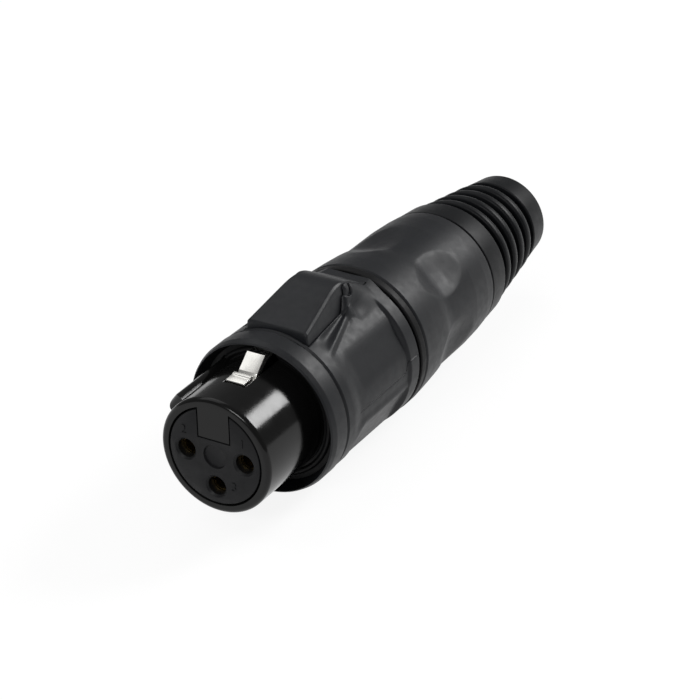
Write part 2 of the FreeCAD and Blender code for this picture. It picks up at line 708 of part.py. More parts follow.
def bell_seal():
    """Soft ring at the bottom of the bell, with a rounded bead that the mating shell presses on."""
    inner = NOSE_R + SEAT_GAP
    bead = BELL_SEAL_BEAD_R
    bead_at = NOSE_R + BELL_SEAL_BEAD_AT
    ring = revolve([
        (inner, BELL_FLOOR),
        (bead_at - bead, BELL_FLOOR),
        (bead_at + bead, BELL_FLOOR, bead_at, BELL_FLOOR - bead),
        (BELL_SEAL_R, BELL_FLOOR),
        (BELL_SEAL_R, BELL_SEAL_END),
        (inner, BELL_SEAL_END),
    ])
    half = LATCH_SLOT_HALF
    rib_gap = KEY_WIDTH / 2 + SEAT_GAP
    slot_room = block(-half, half, BELL_FLOOR - 1, SHELL_BODY_START + 1, 0, BELL_ROOT_R + 1)
    rib_top = NOSE_R + KEY_HEIGHT + SEAT_GAP
    rib_room = block(-rib_gap, rib_gap, BELL_FLOOR - 1, SHELL_BODY_START + 1, 0, rib_top)
    return ring.cut([slot_room, turned(rib_room, KEY_ANGLE)])


def rear_seal():
    edge = REAR_SEAL_EDGE
    return revolve([
        (SPIGOT_R + SEAT_GAP, REAR_SEAL_START),
        (REAR_SEAL_R - edge, REAR_SEAL_START),
        (REAR_SEAL_R, REAR_SEAL_START + edge),
        (REAR_SEAL_R, REAR_SEAL_END - edge),
        (REAR_SEAL_R - edge, REAR_SEAL_END),
        (SPIGOT_R + SEAT_GAP, REAR_SEAL_END),
    ])


# Cable clamp

def chuck():
    """Collet: a closed ring in the shell's spigot, then slotted fingers with a cone."""
    bore_step = CHUCK_START + CABLE_SEAL_LENGTH + 2 * SEAT_GAP
    body = revolve([
        (CABLE_SEAL_R + SEAT_GAP, CHUCK_START),
        (CHUCK_R, CHUCK_START),
        (CHUCK_R, CHUCK_CONE_START),
        (CHUCK_NOSE_R, CHUCK_END),
        (CABLE_R, CHUCK_END),
        (CABLE_R, bore_step),
        (CABLE_SEAL_R + SEAT_GAP, bore_step),
    ])
    half = CHUCK_SLIT / 2
    slit = block(-half, half, CHUCK_START + CHUCK_SOLID, CHUCK_END + 1, CABLE_R - 1, CHUCK_R + 1)
    return body.cut([turned(slit, 360 / CHUCK_SLITS * (index + 0.5)) for index in range(CHUCK_SLITS)])


def cable_seal():
    """Soft ring with a waisted bore, seated in the front of the chuck."""
    start = CHUCK_START + FIT_GAP
    end = start + CABLE_SEAL_LENGTH
    middle = (start + end) / 2
    return revolve([
        (CABLE_SEAL_R, start),
        (CABLE_SEAL_R, end),
        (CABLE_R + CABLE_SEAL_WAIST, end),
        (CABLE_R + CABLE_SEAL_WAIST, start, CABLE_R - CABLE_SEAL_GRIP, middle),
    ])


def thrust_washer():
    return tube(WASHER_R, CABLE_R + WASHER_GAP, WASHER_START, WASHER_END)


# Nut and boot

def gland_nut():
    """Hard core of the nut: bore for the spigot, cone for the chuck, washer seat and boss for the boot."""
    washer_seat = WASHER_END + SEAT_GAP
    return revolve([
        (NUT_BORE_R, NUT_START),
        (NUT_CORE_R, NUT_START),
        (NUT_CORE_R, BOOT_START),
        (BOSS_R, BOOT_START),
        (BOSS_R, BOSS_RIB_START),
        (BOSS_R + BOSS_RIB, BOSS_RIB_START),
        (BOSS_R, BOSS_END),
        (BOSS_BORE_R, BOSS_END),
        (BOSS_BORE_R, washer_seat),
        (WASHER_R + CHUCK_FIT, washer_seat),
        (WASHER_R + CHUCK_FIT, CHUCK_END + WASHER_GAP / 2),
        (CHUCK_R + NUT_CONE_GAP, CHUCK_CONE_START),
        (NUT_BORE_R, CHUCK_CONE_START),
    ])


def dimple(index):
    """Shallow thumb recess: an ellipsoid that bites into the waist of the grip."""
    ball = Part.makeSphere(1.0)
    matrix = FreeCAD.Matrix()
    height = DIMPLE_BALL
    reach = height / math.sqrt(1 - (1 - DIMPLE_DEPTH / height) ** 2)
    matrix.scale(DIMPLE_WIDTH / 2 / height * reach, DIMPLE_LENGTH / 2 / height * reach, height)
    ball = ball.transformGeometry(matrix)
    ball.translate(V(0, DIMPLE_Y, GRIP_WAIST_R + height - DIMPLE_DEPTH))
    return turned(ball, DIMPLE_PHASE + index * 360 / DIMPLES)


def nut_grip():
    inner = NUT_CORE_R + FIT_GAP
    edge = GRIP_FRONT_EDGE
    front_r = (GRIP_FRONT_R + GRIP_SHOULDER_R) / 2 + GRIP_SHOULDER_BULGE
    rear_r = (GRIP_WAIST_R + GRIP_END_R) / 2 + GRIP_TAIL_BULGE
    sleeve = revolve([
        (inner, GRIP_START),
        (GRIP_FRONT_R - edge, GRIP_START),
        (GRIP_FRONT_R, GRIP_START + edge),
        (GRIP_SHOULDER_R, GRIP_SHOULDER_Y, front_r, (GRIP_START + GRIP_SHOULDER_Y) / 2),
        (GRIP_WAIST_R, GRIP_WAIST_Y),
        (GRIP_WAIST_R, GRIP_WAIST_END),
        (GRIP_END_R, GRIP_END, rear_r, (GRIP_WAIST_END + GRIP_END) / 2),
        (inner, GRIP_END),
    ])
    return sleeve.cut([dimple(index) for index in range(DIMPLES)])


def rib_radius(y):
    """Outer radius of the boot behind its collar."""
    share = (y - RIB_FIRST_GROOVE) / (BOOT_END - RIB_FIRST_GROOVE)
    return RIB_FIRST_R + (BOOT_END_R - RIB_FIRST_R) * share


def boot():
    """Ribbed boot: collar, rounded ribs between grooves, plain end collar, cable bore."""
    grooves = [RIB_FIRST_GROOVE + index * RIB_PITCH for index in range(RIB_GROOVES)]
    half_gap = GROOVE_GAP / 2
    points = [
        (BOSS_R + FIT_GAP, BOOT_START),
        (COLLAR_R, BOOT_START),
        (COLLAR_END_R, COLLAR_END),
    ]
    for index, y in enumerate(grooves):
        floor = rib_radius(y) - GROOVE_FLOOR_DROP
        points.append((floor, y - half_gap))
        points.append((floor, y + half_gap))
        if index < RIB_GROOVES - 1:
            next_start = y + RIB_PITCH - half_gap
            crest_y = y + RIB_PITCH / 2
            next_floor = rib_radius(y + RIB_PITCH) - GROOVE_FLOOR_DROP
            points.append((floor + RIB_FOOT, y + half_gap))
            points.append((next_floor + RIB_FOOT, next_start, rib_radius(crest_y), crest_y))
    last = grooves[-1] + half_gap
    shoulder = last + BOOT_SHOULDER
    round_mid = (BOOT_END_R - BOOT_ROUND * 0.3, BOOT_END - BOOT_ROUND * 0.3)
    points += [
        (rib_radius(last) - BOOT_SHOULDER / 2, last + BOOT_SHOULDER / 4),
        (rib_radius(shoulder), shoulder),
        (BOOT_END_R, BOOT_END - BOOT_ROUND),
        (BOOT_END_R - BOOT_ROUND, BOOT_END, *round_mid),
        (CABLE_R + BOOT_MOUTH_CHAMFER, BOOT_END),
        (CABLE_R, BOOT_END - BOOT_MOUTH_CHAMFER),
        (CABLE_R, grooves[-2]),
        (BOSS_BORE_R, COLLAR_END + BOSS_SHORT),
        (BOSS_BORE_R, BOSS_END + SEAT_GAP),
        (BOSS_R + BOSS_RIB + FIT_GAP, BOSS_END + SEAT_GAP),
        (BOSS_R + BOSS_RIB + FIT_GAP, BOSS_RIB_START - SEAT_GAP),
        (BOSS_R + FIT_GAP, BOSS_RIB_START - SEAT_GAP),
    ]
    return revolve(points)


def main():
    os.makedirs("parts", exist_ok=True)
    save("nose_shell", nose_shell())
    save("contact_insert", contact_insert())
    for name, angle in CONTACT_ANGLES.items():
        save(name, contact(angle))
    save("earth_clip", earth_clip())
    save("insulating_sleeve", insulating_sleeve())
    save("latch", latch())
    save("latch_pin", latch_pin())
    save("latch_spring", latch_spring())
    save("button_pad", button_pad())
    save("button_plunger", button_plunger())
    save("grip_jacket", grip_jacket())
    save("bell_seal", bell_seal())
    save("rear_seal", rear_seal())
    save("chuck", chuck())
    save("cable_seal", cable_seal())
    save("thrust_washer", thrust_washer())
    save("gland_nut", gland_nut())
    save("nut_grip", nut_grip())
    save("boot", boot())


main()
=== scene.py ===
"""Looks of a three-pole female cable connector.

The script makes the finishes, the visible pieces with their fine forms, the pin numbers, the floor, the
light and the camera. Lengths are millimetres here and become metres in each mesh. The axis is Y, the mating
face lies at y = 0 and the latch is on top, towards +Z. Angles round the axis run from 0 at the top through 90
on the +X side.
"""
import json
import math
from contextlib import contextmanager

import bmesh
import bpy
from mathutils import Matrix, Vector


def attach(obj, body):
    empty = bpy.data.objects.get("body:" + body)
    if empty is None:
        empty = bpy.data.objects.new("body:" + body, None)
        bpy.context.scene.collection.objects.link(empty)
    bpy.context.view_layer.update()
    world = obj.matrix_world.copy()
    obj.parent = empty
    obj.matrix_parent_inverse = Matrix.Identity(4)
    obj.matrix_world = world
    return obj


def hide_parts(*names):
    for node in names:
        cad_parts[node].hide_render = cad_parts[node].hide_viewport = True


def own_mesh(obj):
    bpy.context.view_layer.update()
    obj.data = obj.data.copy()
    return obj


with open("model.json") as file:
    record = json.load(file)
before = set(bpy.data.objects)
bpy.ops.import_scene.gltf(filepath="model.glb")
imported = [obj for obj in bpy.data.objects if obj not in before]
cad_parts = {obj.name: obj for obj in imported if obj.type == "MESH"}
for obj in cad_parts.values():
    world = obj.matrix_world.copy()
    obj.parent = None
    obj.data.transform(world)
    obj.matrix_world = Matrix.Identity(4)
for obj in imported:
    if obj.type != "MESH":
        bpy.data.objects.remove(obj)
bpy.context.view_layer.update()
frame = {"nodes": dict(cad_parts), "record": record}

MM = 0.001
PICTURE = 700
# Distance that counts as nothing, and the half-width in degrees of the sector with the slot and the button
HAIR = 0.01
TOP_SECTOR = 45.0

# Camera
CAMERA_AIM = Vector((0.0, 45.0, 0.0))
CAMERA_AZIMUTH = 31.516
CAMERA_ELEVATION = 28.862
CAMERA_ROLL = -1.564
CAMERA_DISTANCE = 464.862
CAMERA_FOCAL_PX = 3000
CAMERA_SLIDE_RIGHT = -3.543
CAMERA_SLIDE_UP = -3.773
SENSOR_WIDTH = 36.0

# Floor and light
FLOOR_LEVEL = -12.62
FLOOR_HALF_M = 6.0
FLOOR_TONE = 0.15
FLOOR_SEEN_TONE = 0.89
WORLD_LEVEL = 0.22

# Nose and shell
NOSE_R = 9.3
NOSE_END = 17.45
RIM_ROUND = 0.75
SHELL_BORE_R = 7.8
COUNTERBORE_STEP = 0.12
COUNTERBORE_END = 1.1
SHELL_BODY_R = 10.5
SHELL_BODY_END = 38.4
CAVITY_R = 7.0
CAVITY_START = 18.2
CHUCK_SEAT = 38.5
SPIGOT_R = 9.2
SPIGOT_BORE_R = 8.0
SPIGOT_END = 50.0
SPIGOT_CHAMFER = 0.3
KEY_ANGLE = -53.5
KEY_HALF = 1.5
KEY_HEIGHT = 1.25
KEY_START = 2.0
KEY_ROUND = 1.05
KEY_OVERLAP = 0.5
SLOT_HALF = 1.8
SLOT_START = 5.7
SLOT_FLOOR = 6.4
SLOT_ROUND = 0.16
ARM_SLOT_FLOOR = 8.7
EYE_POCKET = (19.9, 31.31, 7.69)
BRIDGE_HALF = 2.625
BRIDGE_FLOOR = 2.8
BRIDGE_START = 0.04
BRIDGE_OVERLAP = 0.3
FACE_GAP = 0.2

# Insert
INSERT_R = 7.7
INSERT_LENGTH = 17.8
INSERT_EDGE = 0.2
CONTACT_PITCH_R = 4.96
CONTACT_ANGLES = (90.0, -90.0, 180.0)
CONTACT_HOLE_R = 1.84
MOUTH_R = 1.5
MOUTH_DEPTH = 1.6
RECESS_R = 1.9
RECESS_DEPTH = 0.4
NUMERAL_PLACES = {"1": (4.84, 3.37), "2": (-5.25, 3.2), "3": (3.1, -4.32)}
NUMERAL_SIZE = 2.1
NUMERAL_PROUD = 0.1
NUMERAL_THINNER = 0.03
NUMERAL_WELD = 0.0005
INSERT_BEVEL = 0.07

# Latch
LATCH_HALF = 1.55
PIVOT = (30.0, 9.0)
EYE_R = 1.19
EYE_INNER_R = 0.66
LATCH_BEVEL = 0.1
SPRING_HALF = 1.2

# Button
PAD_FRONT = 17.6
PAD_REAR = 36.9
PAD_GAP = 0.12
PAD_HALF_FRONT = 5.36
PAD_TAPER = 0.0787
PAD_DRAFT = 0.1587
PAD_FOOT_Z = 11.45
PAD_CREST = (29.5, 16.12)
PAD_TOP_ROUND = 8.0
PAD_REAR_Z = 12.35
PAD_BOTTOM = 10.2
PAD_UNDER_R = 11.55
PAD_CROWN = 0.1
PAD_EDGE_FRONT = 0.42
PAD_EDGE_REAR = 0.1
PAD_EDGE_Y = (28.8, 30.2)
PAD_FRONT_ROUND = 0.4
PAD_REAR_ROUND = 0.1
PAD_WALL = 1.1
PAD_HOLLOW_END = 32.0
PAD_HOLLOW_Z = (8.0, 12.95)
PAD_SIDE_STEPS = 6
PAD_TOP_STEPS = 30
SCOOP_Y = 33.4
SCOOP_HALF_WIDTH = 3.85
SCOOP_HALF_LENGTH = 1.6
SCOOP_DEPTH = 0.15
# Room for the latch's arm through the bell and under the button
ARM_ROOM_START = 12.45
ARM_ROOM_END = PAD_FRONT + 1.32
ARM_ROOM_Z = (9.5, 11.8)

# Jacket
JACKET_R = 12.4
JACKET_START = 12.4
JACKET_END = 38.2
JACKET_BORE_R = 10.54
BELL_FLOOR = 15.0
BELL_ROOT_R = 11.35
LIP_R = 12.52
LIP_GROOVE = (16.3, 17.2)
LIP_GROOVE_R = 12.12
LIP_GROOVE_SLOPE = 0.27
FACET_ANGLES = (60.0, 120.0, 180.0, 240.0, 300.0)
FACET_FLAT = 11.65
FACET_START = (18.4, 23.0)
FACET_END = 34.9
FACET_FADE = 0.8
FACET_LIFT = 1.1
FACET_HALF_ANGLE = 50.0
FACET_BLEND = 0.25
PANEL_DEPTH = 0.4
PANEL_TOP_ANGLE = 25.0
PANEL_BOTTOM_ANGLES = (96.0, 104.0)
PANEL_LEVEL_Y = 29.0
PANEL_SLOPE = 1.5
PANEL_BEND_Y = (30.0, 28.0)
PANEL_BORDER = 5.0
PANEL_BORDER_REAR = 14.0
PANEL_BORDER_Y = (28.6, 31.0)
PANEL_START = (18.6, 21.4)
PANEL_FADE = 0.7
LEAF_FOOT_ANGLE = 22.0
LEAF_FOOT_Y = 29.8
LEAF_FOOT_SLOPE = 0.439
LEAF_RIDGE_ANGLE = 24.4
LEAF_SHARE = 0.25
LEAF_START = (18.6, 22.6)
PARTING_ANGLE = 90.0
PARTING_JOG = 8.0
PARTING_JOG_Y = (34.3, 35.3)
PARTING_START = (20.7, 21.3)
PARTING_END = (37.4, 37.8)
PARTING_DEPTH = 0.13
PARTING_WIDTH = 0.1
HUMP_Y = (27.7, 30.3)
HUMP_UNDER_PAD = 0.1
HUMP_REACH = 3.4
GROOVE_PLACE = (3.9, 30.5)
GROOVE_R = 1.0
GROOVE_DEPTH = 0.6
GROOVE_WIDTH = 0.2
WINDOW_ROUND = 0.22
WINDOW_ROUND_REAR = 0.08
WINDOW_ROUND_Y = (29.0, 31.0)
WINDOW_Z = (8.6, 17.0)

# Seals
BELL_SEAL_R = (9.35, 11.3)
BELL_SEAL_END = 17.4
BELL_BEAD_R = 10.15
BELL_BEAD_ROUND = 0.45
BELL_SEAL_ROOM = (14.0, 18.5)
BELL_SEAL_ROOM_TOP = 12.35
RIB_CLEARANCE = 0.05
REAR_SEAL_R = (9.25, 12.5)
REAR_SEAL_Y = (38.45, 39.9)
CABLE_SEAL_R = (4.5, 6.0)
CABLE_SEAL_Y = (38.64, 44.64)
CABLE_SEAL_WAIST = 0.6

# Nut and thread
GRIP_START = 40.05
GRIP_END = 64.4
GRIP_BORE_R = 10.49
GRIP_WAIST_R = 11.4
DIMPLE_COUNT = 6
DIMPLE_PHASE = 45.0
DIMPLE_Y = 51.5
DIMPLE_HALF_WIDTH = 4.0
DIMPLE_HALF_LENGTH = 5.8
DIMPLE_DEPTH = 0.75
DIMPLE_POWER = 1.4
THREAD_PITCH = 1.5
THREAD_START = 41.4
THREAD_TURNS = 5
THREAD_STEPS = 72
THREAD_FADE_STEPS = 30
THREAD_HEIGHT = 0.3
THREAD_SUNK = 0.1
THREAD_HALF_FOOT = 0.55
THREAD_HALF_CREST = 0.15

# Boot
CABLE_R = 4.0
BOOT_START = 64.6
BOOT_END = 88.9
BOOT_END_R = 7.2
BOOT_MOUTH_R = 10.65
BOOT_COLLAR_END = 69.2
BOOT_COLLAR_END_R = 10.35
BOSS_R = 7.64
BOSS_RIB_R = 8.14
BOSS_RIB = (67.15, 68.85)
BOSS_BORE_R = 4.9
BOSS_END = 69.6
BOOT_TAPER_END = 79.89
RIB_FIRST_GROOVE = 70.35
RIB_PITCH = 3.18
RIB_GROOVES = 5
RIB_FIRST_R = 9.95
RIB_GROOVE_DEPTH = 1.9
RIB_HALF_GAP = 0.6
RIB_EDGE = 0.8
RIB_EDGE_DROP = 0.15
RIB_CROWN = 0.06


# Finishes

# Nearly all of the noise lies in this range
NOISE_RANGE = (0.3, 0.7)
GRAIN_SHARE = 0.35


def finish(slot, tone, rough, contrast=0.12, spread=0.06, metallic=0.0, specular=0.5, cloud=4.0, grain=0.12,
           relief=0.003, streak=1.0):
    """Finish for a material slot: cloudy tone, uneven roughness and a fine grain.

    Sizes are millimetres, and streak stretches the grain along the axis.
    """
    mat = bpy.data.materials.new(slot + "_finish")
    mat.use_nodes = True
    nodes = mat.node_tree.nodes
    links = mat.node_tree.links
    shader = nodes["Principled BSDF"]
    shader.inputs["Metallic"].default_value = metallic
    shader.inputs["Specular IOR Level"].default_value = specular
    place = nodes.new("ShaderNodeTexCoord")
    mapping = nodes.new("ShaderNodeMapping")
    mapping.inputs["Scale"].default_value = (1 / MM, 1 / MM / streak, 1 / MM)
    links.new(place.outputs["Object"], mapping.inputs["Vector"])

    def noise(size, detail):
        node = nodes.new("ShaderNodeTexNoise")
        node.inputs["Scale"].default_value = 1 / size
        node.inputs["Detail"].default_value = detail
        links.new(mapping.outputs["Vector"], node.inputs["Vector"])
        return node.outputs["Fac"]

    def ranged(source, low, high):
        """Noise spread from low to high."""
        node = nodes.new("ShaderNodeMapRange")
        node.inputs["From Min"].default_value = NOISE_RANGE[0]
        node.inputs["From Max"].default_value = NOISE_RANGE[1]
        node.inputs["To Min"].default_value = low
        node.inputs["To Max"].default_value = high
        links.new(source, node.inputs["Value"])
        return node.outputs["Result"]

    fine = noise(grain, 3)
    broad = noise(cloud, 4)
    mixed = nodes.new("ShaderNodeMath")
    mixed.operation = "ADD"
    links.new(ranged(fine, -GRAIN_SHARE, GRAIN_SHARE), mixed.inputs[0])
    links.new(ranged(broad, 0.0, 1.0), mixed.inputs[1])
    tones = nodes.new("ShaderNodeMix")
    tones.data_type = "RGBA"
    tones.inputs["A"].default_value = [channel * (1 - contrast) for channel in tone] + [1]
    tones.inputs["B"].default_value = [channel * (1 + contrast) for channel in tone] + [1]
    links.new(mixed.outputs[0], tones.inputs["Factor"])
    links.new(tones.outputs["Result"], shader.inputs["Base Color"])
    links.new(ranged(noise(cloud / 3, 3), rough - spread, rough + spread), shader.inputs["Roughness"])
    bump = nodes.new("ShaderNodeBump")
    bump.inputs["Strength"].default_value = 1.0
    bump.inputs["Distance"].default_value = relief * MM
    links.new(fine, bump.inputs["Height"])
    links.new(bump.outputs["Normal"], shader.inputs["Normal"])
    return mat


FINISHES = {
    "black_metal": finish("black_metal", (0.006, 0.006, 0.006), 0.15, spread=0.03, specular=0.24, relief=0.0),
    "insert_plastic": finish("insert_plastic", (0.008, 0.0082, 0.0092), 0.5, specular=0.19, grain=0.1,
                             relief=0.004),
    # The gold tone is kept far darker than real gold plating: this is painted shade for the contacts, which
    # sit deep in their holes.
    "gold": finish("gold", (0.34, 0.24, 0.09), 0.28, metallic=1.0, contrast=0.06, grain=0.2, relief=0.001),
    "nickel": finish("nickel", (0.86, 0.85, 0.81), 0.24, metallic=1.0, contrast=0.05, grain=0.08,
                     relief=0.001, streak=6.0),
    "sleeve_plastic": finish("sleeve_plastic", (0.72, 0.72, 0.69), 0.45, contrast=0.04),
    "pin_steel": finish("pin_steel", (0.55, 0.55, 0.56), 0.3, metallic=1.0, contrast=0.08),
    "spring_steel": finish("spring_steel", (0.5, 0.5, 0.51), 0.32, metallic=1.0, contrast=0.08, streak=5.0),
    "soft_grip": finish("soft_grip", (0.0092, 0.0101, 0.0124), 0.48, spread=0.04, specular=0.31, grain=0.14,
                        relief=0.012),
    "seal_rubber": finish("seal_rubber", (0.005, 0.005, 0.0055), 0.5, specular=0.16, grain=0.2, relief=0.002),
    "chuck_plastic": finish("chuck_plastic", (0.055, 0.055, 0.06), 0.4, relief=0.002),
    "boot_rubber": finish("boot_rubber", (0.0041, 0.0047, 0.0059), 0.45, spread=0.04, specular=0.18,
                          grain=0.14, relief=0.010),
}


# Outlines

def softened(points, closed=True, steps=6):
    """Outline with rounded corners. A point is (a, b) or (a, b, radius of its corner)."""
    most_of_side = 0.49
    result = []
    for index, point in enumerate(points):
        here = Vector(point[:2])
        is_end = not closed and index in (0, len(points) - 1)
        if len(point) == 2 or is_end:
            result.append(tuple(here))
            continue
        before = Vector(points[index - 1][:2]) - here
        after = Vector(points[(index + 1) % len(points)][:2]) - here
        cut = point[2] / math.tan(before.angle(after) / 2)
        cut = min(cut, before.length * most_of_side, after.length * most_of_side)
        start = here + before.normalized() * cut
        end = here + after.normalized() * cut
        for step in range(steps + 1):
            t = step / steps
            result.append(tuple(start * (1 - t) ** 2 + here * 2 * t * (1 - t) + end * t * t))
    return result


def arc(centre, radius, start, end, step):
    """Points of an arc from start to end, in degrees from the outline's first axis towards its second."""
    points = []
    for index in range(round((end - start) / step) + 1):
        angle = math.radians(start + index * step)
        points.append((centre[0] + radius * math.cos(angle), centre[1] + radius * math.sin(angle)))
    return points


def places(*runs):
    """Sorted places from runs of (start, end, step)."""
    found = set()
    for start, end, step in runs:
        count = max(1, round((end - start) / step))
        for index in range(count + 1):
            found.add(round(start + (end - start) * index / count, 4))
    return sorted(found)


def rows_on(line, *runs):
    """Sorted places along the axis from runs, with those of an outline of (y, radius) points."""
    return sorted(set(places(*runs)) | {round(y, 4) for y, radius in line})


def radius_on(line, y):
    """Radius at y on an open outline of (y, radius) points."""
    for (y0, r0), (y1, r1) in zip(line, line[1:]):
        if y <= y1:
            share = (y - y0) / (y1 - y0) if y1 > y0 else 1.0
            return r0 + (r1 - r0) * max(share, 0.0)
    return line[-1][1]


def smooth(start, end, value):
    """Soft step from 0 at start to 1 at end."""
    t = min(max((value - start) / (end - start), 0.0), 1.0)
    return t * t * (3 - 2 * t)


def soft_min(a, b, blend):
    """Smaller of two values, with a soft change from one to the other."""
    near = max(blend - abs(a - b), 0.0) / blend
    return min(a, b) - near * near * blend / 4


def edge_drop(distance, radius):
    """How far a rounded edge lies under its corner, at a distance in from that corner."""
    if distance >= radius:
        return 0.0
    return radius - math.sqrt(radius ** 2 - (radius - max(distance, 0.0)) ** 2)


def angle_from(angle, centre):
    """Angle from a centre, between -180 and 180."""
    return (angle - centre + 180) % 360 - 180


def on_ring(radius, y, angle):
    """Point at a radius and an angle round the axis."""
    turn = math.radians(angle)
    return (radius * math.sin(turn), y, radius * math.cos(turn))


# Meshes

@contextmanager
def opened(mesh):
    """Mesh opened for editing, and written back."""
    shape = bmesh.new()
    shape.from_mesh(mesh)
    yield shape
    shape.to_mesh(mesh)
    shape.free()


def linked(name, data):
    """New object in the scene."""
    obj = bpy.data.objects.new(name, data)
    bpy.context.collection.objects.link(obj)
    return obj


def skin(name, loops, ring=False):
    """Solid through loops of points in millimetres, closed by its first and last loop or into a ring."""
    size = len(loops[0])
    points = [point for loop in loops for point in loop]
    last = len(points) - size
    faces = [] if ring else [tuple(range(size)), tuple(reversed(range(last, last + size)))]
    for column in range(len(loops) if ring else len(loops) - 1):
        here = column * size
        after = (column + 1) % len(loops) * size
        for row in range(size):
            above = (row + 1) % size
            faces.append((here + row, here + above, after + above, after + row))
    mesh = bpy.data.meshes.new(name)
    mesh.from_pydata([(x * MM, y * MM, z * MM) for x, y, z in points], [], faces)
    with opened(mesh) as shape:
        bmesh.ops.recalc_face_normals(shape, faces=shape.faces)
    return linked(name, mesh)


def wrapped(name, angles, loop_at):
    """Ring round the axis: loop_at(angle) gives the closed outline of (radius, y) points at each angle."""
    loops = [[on_ring(radius, y, angle) for radius, y in loop_at(angle)] for angle in angles]
    return skin(name, loops, ring=True)


def lathe(name, outline, segments=180):
    """Ring with the same closed outline of (radius, y) points all round."""
    angles = [index * 360 / segments for index in range(segments)]
    return wrapped(name, angles, lambda angle: outline)


def prism(name, outline, half_width):
    """Solid between -half_width and half_width in X with an outline of (y, z) points."""
    return skin(name, [[(side * half_width, y, z) for y, z in outline] for side in (-1, 1)])


def block(x0, x1, y0, y1, z0, z1):
    """Tool for cutting or joining."""
    obj = prism("block", [(y0, z0), (y1, z0), (y1, z1), (y0, z1)], (x1 - x0) / 2)
    obj.data.transform(Matrix.Translation(((x0 + x1) / 2 * MM, 0, 0)))
    return obj


def rod(outline, x=0.0, z=0.0, sides=64):
    """Round solid along Y from an open outline of (radius, y) points, closed by flat ends."""
    loops = []
    for radius, y in outline:
        ring = [on_ring(radius, y, index * 360 / sides) for index in range(sides)]
        loops.append([(x + ring_x, ring_y, z + ring_z) for ring_x, ring_y, ring_z in ring])
    return skin("rod", loops)


def turned(obj, angle):
    """Turns an object's mesh round the axis."""
    obj.data.transform(Matrix.Rotation(math.radians(angle), 4, "Y"))


def evaluated_mesh(obj):
    """New mesh of an object as it shows."""
    bpy.context.view_layer.update()
    graph = bpy.context.evaluated_depsgraph_get()
    return bpy.data.meshes.new_from_object(obj.evaluated_get(graph), depsgraph=graph)


def settle(obj):
    """Applies the modifiers."""
    mesh = evaluated_mesh(obj)
    obj.modifiers.clear()
    obj.data = mesh


def combine(obj, operation, *tools):
    """Joins tools to an object or cuts them out of it, and removes them."""
    for tool in tools:
        modifier = obj.modifiers.new("combine", "BOOLEAN")
        modifier.operation = operation
        modifier.solver = "EXACT"
        modifier.object = tool
        settle(obj)
        bpy.data.objects.remove(tool)


def bevelled(obj, width, segments=2, angle=50):
    """Bevels the edges sharper than angle."""
    modifier = obj.modifiers.new("edges", "BEVEL")
    modifier.width = width * MM
    modifier.segments = segments
    modifier.limit_method = "ANGLE"
    modifier.angle_limit = math.radians(angle)
    settle(obj)


def dress(obj, slot, body, *nodes, sharp=38):
    """Shading, finish and body of a piece, and the nodes of the model that it stands for."""
    mesh = obj.data
    mesh.shade_smooth()
    mesh.set_sharp_from_angle(angle=math.radians(sharp))
    mesh.materials.clear()
    mesh.materials.append(FINISHES[slot])
    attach(obj, body)
    if nodes:
        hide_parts(*nodes)


# Metal shell

NOSE_ROWS = places((0.86, 1.4, 0.06), (1.5, 5.4, 0.6), (5.5, 5.75, 0.03), (6.2, NOSE_END, 1.0))
SHELL_ANGLES = places((-180, 178, 2), (-14, -10, 0.2), (10, 14, 0.2))


def key_rib():
    """Rib with a rounded top that fits the groove of the mating shell."""
    top = NOSE_R + KEY_HEIGHT
    rib = block(-KEY_HALF, KEY_HALF, KEY_START, NOSE_END + KEY_OVERLAP, SHELL_BORE_R + KEY_OVERLAP, top)
    level = (top - HAIR) * MM
    with opened(rib.data) as shape:
        edges = [edge for edge in shape.edges if min(corner.co.z for corner in edge.verts) > level]
        bmesh.ops.bevel(shape, geom=edges, offset=KEY_ROUND * MM, segments=8, affect="EDGES", profile=0.5)
    turned(rib, KEY_ANGLE)
    return rib


def slot_edge(angle, y, radius):
    """Rounding of the edge of the latch slot."""
    if abs(angle) > TOP_SECTOR:
        return 0.0
    across = abs(radius * math.sin(math.radians(angle))) - SLOT_HALF
    away = math.hypot(max(across, 0.0), max(SLOT_START - y, 0.0))
    return edge_drop(away, SLOT_ROUND)


